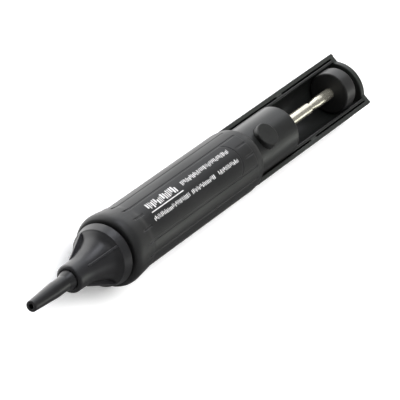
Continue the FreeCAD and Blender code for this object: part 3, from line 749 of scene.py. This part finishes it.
def make_plunger_guard():
    """Outer half-shell with rounded rails, an arched end wall and two small lugs."""
    inner_r = GUARD_R - GUARD_WALL
    section = rounded([(GUARD_FRONT, inner_r, 0.5), (GUARD_FRONT, GUARD_R, 0.5),
                       (GUARD_END, GUARD_R, 0.85), (GUARD_END, inner_r, 0.3)], 6)
    shell = half_turned("guard_skin", section)
    soften(shell, 0.4, 4, 60.0)
    fit(shell, "pump_body", "guard_plastic", GUARD, "plunger_guard")
    # The wall's top edge is an arch that ends level with the axis. Its lower edge is let into
    # the shell, and stops a little below the rails' tops.
    let_in = 0.9
    below_rails = 0.3
    arch_r = 10.15
    arch_half_width = 7.4
    drop = math.sqrt(arch_r ** 2 - arch_half_width ** 2)
    spread = math.degrees(math.asin(arch_half_width / arch_r))
    arch = [(across, up - drop) for across, up in arc_points(arch_r, spread, -spread, 40)]
    lower_edge = arc_points(inner_r + let_in, 270 - below_rails, 90 + below_rails, 60)
    wall = extruded("end_wall", arch + lower_edge, TROUGH_END, GUARD_END)
    soften(wall, 0.85, 6, 30.0)
    fit(wall, "pump_body", "guard_plastic", GUARD)
    bottom, top = -1.6, -0.05
    lug_let_in = 0.15
    for side in (-1, 1):
        near, far = sorted((side * TUBE_SEAT_R, side * (inner_r + lug_let_in)))
        lug = extruded("lug", [(near, bottom), (far, bottom), (far, top), (near, top)],
                       LUG_FRONT, LUG_REAR)
        soften(lug, 0.15, 2)
        fit(lug, "pump_body", "guard_plastic", GUARD)


def make_release_button():
    """Round button with a softened top edge and a slightly dished top."""
    foot = 5.0
    top = (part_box("release_button")[1].z - AXIS_Z) / MM
    dish_r, dish_edge, dish_middle = 3.3, 0.04, 0.12
    outline = rounded([(foot, 0.0, 0.0), (foot, BUTTON_R, 0.2), (top, BUTTON_R, 0.45),
                       (top - dish_edge, dish_r, 0.4), (top - dish_middle, 0.0, 0.0)], 7)
    cap = turned("button_cap", outline, 120, round_button_axis)
    fit(cap, "button", "button_plastic", BUTTON, "release_button")


# ---------------------------------------------------------------- plunger and springs

def make_plunger_rod():
    """Bright plated rod with its latch notch and the cone behind it."""
    outline = rounded([
        (90.0, 0.0, 0.0), (90.0, 1.5, 0.2), (98.0, 1.5, 0.0), (98.0, 2.0, 0.1),
        (164.9, 2.0, 0.12), (165.45, 1.425, 0.15), (166.6, 1.425, 0.4),
        (170.7, 1.925, 0.6), (179.4, 1.925, 0.0), (179.4, 1.5, 0.0), (183.6, 1.5, 0.1),
        (183.6, 0.0, 0.0),
    ])
    fit(turned("rod_skin", outline, 96), "plunger", "plated_rod", ROD, "plunger_rod")


def make_plunger_knob():
    """Thumb disc with rounded edges, a bore for the rod in front and a ringed dish behind."""
    outline = rounded([
        (183.8, 0.0, 0.0), (183.8, 1.5, 0.0), (KNOB_FRONT, 1.5, 0.0), (KNOB_FRONT, 6.9, 0.15),
        (KNOB_FRONT + 0.12, KNOB_R, 0.45), (KNOB_REAR, KNOB_R, 0.6), (KNOB_REAR, 6.3, 0.25),
        (KNOB_REAR - 0.35, 6.0, 0.2), (KNOB_REAR - 0.4, 4.4, 0.15), (KNOB_REAR - 0.2, 4.2, 0.1),
        (KNOB_REAR - 0.2, 3.9, 0.1), (KNOB_REAR - 0.45, 3.7, 0.15), (KNOB_REAR - 0.5, 0.0, 0.0),
    ])
    fit(turned("knob_skin", outline), "plunger", "knob_plastic", KNOB, "plunger_knob")


def spring_path(turns, coil_r, start, end, place, closed):
    """Helix with closed coils at both ends, as points in the row frame; closed is in turns."""
    flat = 0.16  # pitch of a closed coil, as a share of an open one's
    opening = 0.4  # turns from a closed coil to an open one
    steps_per_turn = 40
    shares = np.linspace(0.0, 1.0, int(turns * steps_per_turn) + 1)
    pitch = np.interp(shares * turns,
                      [0, closed, closed + opening, turns - closed - opening, turns - closed, turns],
                      [flat, flat, 1, 1, flat, flat])
    climb = np.concatenate([[0.0], np.cumsum((pitch[1:] + pitch[:-1]) / 2)])
    levels = start + (end - start) * climb / climb[-1]
    return [place(along, TURN * turns * share, coil_r) for along, share in zip(levels, shares)]


def make_springs():
    """Main spring round the cleaning pin, and the small spring under the latch plate."""
    wire_r = 0.5
    bm = bmesh.new()
    path = spring_path(turns=8.5, coil_r=5.9, start=SPRING_FRONT + wire_r,
                       end=SPRING_REAR - wire_r, place=round_pump_axis, closed=1.1)
    add_tube(bm, path, wire_r)
    main = fit(new_piece("main_spring_coil", bm), "pump_body", "spring_steel", SPRING,
               "main_spring")
    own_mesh(main)

    low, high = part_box("button_spring")
    bottom = (low.z - AXIS_Z) / MM
    top = (high.z - AXIS_Z) / MM
    wire_r = 0.25
    bm = bmesh.new()
    path = spring_path(turns=4.0, coil_r=2.0, start=bottom + wire_r, end=top - wire_r,
                       place=round_button_axis, closed=0.6)
    add_tube(bm, path, wire_r, 8)
    small = fit(new_piece("button_spring_coil", bm), "pump_body", "spring_steel", SPRING,
                "button_spring")
    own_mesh(small)


def dress_cad_nodes():
    """Gives every CAD node that still shows its own material."""
    materials = {
        "black_rubber": RUBBER, "white_acetal": ACETAL, "bright_steel": STEEL,
        "spring_steel": SPRING, "tube_plastic": TUBE, "plated_rod": ROD,
        "knob_plastic": KNOB, "grip_plastic": GRIP,
    }
    for part in frame["record"]["subparts"]:
        node = frame["nodes"][part["node"]]
        if node.hide_render:
            continue
        node.data.materials.clear()
        node.data.materials.append(materials[part["material_slot"]])
        node.data.shade_smooth()
        node.data.set_sharp_from_angle(angle=math.radians(30.0))


# ---------------------------------------------------------------- stage, lights and camera

def view_axes():
    """A matrix whose columns are the camera's right, up and back in the row frame."""
    tilt = math.radians(49.0)  # of the pump's axis, away from the picture plane
    slope = math.radians(35.82)  # of the pump's axis across the picture
    roll = math.radians(4.3)  # of the pump about its own axis
    along = Vector((math.cos(slope), math.sin(slope), 0.0))
    side = Vector((math.sin(slope), -math.cos(slope), 0.0))
    back = Vector((0.0, 0.0, 1.0))
    rearward = along * math.cos(tilt) - back * math.sin(tilt)
    upward = along * math.sin(tilt) + back * math.cos(tilt)
    pump_up = upward * math.cos(roll) - side * math.sin(roll)
    pump_across = pump_up.cross(rearward)
    return Matrix((rearward, pump_across, pump_up))


def make_camera():
    """Long-lens camera in front of and above the nozzle, with the nozzle at the lower left."""
    distance = 1.051
    target = on_axis(100.4, 0, 0)
    target_right, target_up = 2.33 * MM, 6.29 * MM
    axes = view_axes()
    offset = axes @ Vector((-target_right, -target_up, distance))
    data = bpy.data.cameras.new("camera")
    data.lens = 290.3
    data.sensor_width = 36.0
    camera = bpy.data.objects.new("camera", data)
    camera.matrix_world = Matrix.Translation(target + offset) @ axes.to_4x4()
    bpy.context.scene.collection.objects.link(camera)
    bpy.context.scene.camera = camera


def make_light(name, azimuth, elevation, size, radiance, color=(1.0, 1.0, 1.0), mirrored=True):
    """A softbox facing the pump; azimuth is from +X towards +Y, and both angles in degrees."""
    distance = 1.3
    data = bpy.data.lights.new(name, "AREA")
    data.shape = "RECTANGLE"
    data.size, data.size_y = size
    data.energy = radiance * size[0] * size[1] * math.pi
    data.color = color
    light = bpy.data.objects.new(name, data)
    level = math.cos(math.radians(elevation))
    place = Vector((level * math.cos(math.radians(azimuth)),
                    level * math.sin(math.radians(azimuth)),
                    math.sin(math.radians(elevation)))) * distance
    light.location = place
    light.rotation_euler = place.to_track_quat("Z", "Y").to_euler()
    light.visible_camera = False
    light.visible_glossy = mirrored
    bpy.context.scene.collection.objects.link(light)


def make_floor():
    """Plain pale light table, left out of the glossy plastic's reflections."""
    half_size = 6.0
    bm = bmesh.new()
    bmesh.ops.create_grid(bm, x_segments=2, y_segments=2, size=half_size)
    floor = new_piece("floor", bm)
    nodes = Nodes("floor_paper")
    tone = nodes.noise(6.0, 3.0)
    nodes.join(nodes.blend(nodes.spread(tone, 0.0, 1.0), (0.87, 0.87, 0.87), (0.89, 0.89, 0.89)),
               nodes.shader, "Base Color")
    nodes.shader.inputs["Roughness"].default_value = 0.9
    nodes.shader.inputs["Specular IOR Level"].default_value = 0.0
    nodes.shader.inputs["Emission Color"].default_value = (1.0, 1.0, 1.0, 1.0)
    nodes.shader.inputs["Emission Strength"].default_value = 0.25
    floor.data.materials.append(nodes.material)
    floor.visible_glossy = False


def make_surroundings():
    """A dim room that is brighter low on the +Y side, which the pump's far edge mirrors."""
    dim, bright = 0.19, 2.1
    world = bpy.data.worlds.new("studio")
    bpy.context.scene.world = world
    world.use_nodes = True
    tree = world.node_tree
    background = tree.nodes["Background"]
    direction = tree.nodes.new("ShaderNodeTexCoord")
    facing = tree.nodes.new("ShaderNodeVectorMath")
    facing.operation = "DOT_PRODUCT"
    facing.inputs[1].default_value = Vector((0.2, 1.0, -0.6)).normalized()
    glow = tree.nodes.new("ShaderNodeMapRange")
    glow.interpolation_type = "SMOOTHSTEP"
    glow.inputs["From Min"].default_value = 0.45
    glow.inputs["From Max"].default_value = 0.75
    glow.inputs["To Min"].default_value = dim
    glow.inputs["To Max"].default_value = bright
    tree.links.new(direction.outputs["Generated"], facing.inputs[0])
    tree.links.new(facing.outputs["Value"], glow.inputs["Value"])
    tree.links.new(glow.outputs["Result"], background.inputs["Strength"])
    background.inputs["Color"].default_value = (1.0, 1.0, 1.0, 1.0)


def make_stage():
    """Floor, surroundings and soft lights on both sides of the pump and above it."""
    make_floor()
    make_surroundings()
    make_light("key", 42, 23, (1.25, 0.8), 1.2, (0.94, 0.96, 1.0))
    make_light("key_high", 78, 57, (0.9, 0.5), 2.6, (0.90, 0.92, 1.0))
    make_light("fill", -43, 13, (0.55, 0.42), 1.9, (0.97, 1.0, 0.93))
    make_light("fill_side", -80, 24, (0.8, 0.55), 0.5)
    make_light("rear_low", 0, 12, (1.2, 0.35), 0.9, (1.0, 0.99, 0.93))
    make_light("front_top", 180, 60, (0.8, 0.5), 0.6)
    make_light("overhead", 10, 85, (1.4, 1.4), 4.6, mirrored=False)
    bpy.context.scene.view_settings.view_transform = "Standard"


# ---------------------------------------------------------------- everything in order

make_camera()
make_stage()
make_nozzle()
make_nose_cone()
make_nose_thread()
make_barrel()
make_panel_print()
make_pump_tube()
make_plunger_guard()
make_release_button()
make_plunger_rod()
make_plunger_knob()
make_springs()
dress_cad_nodes()
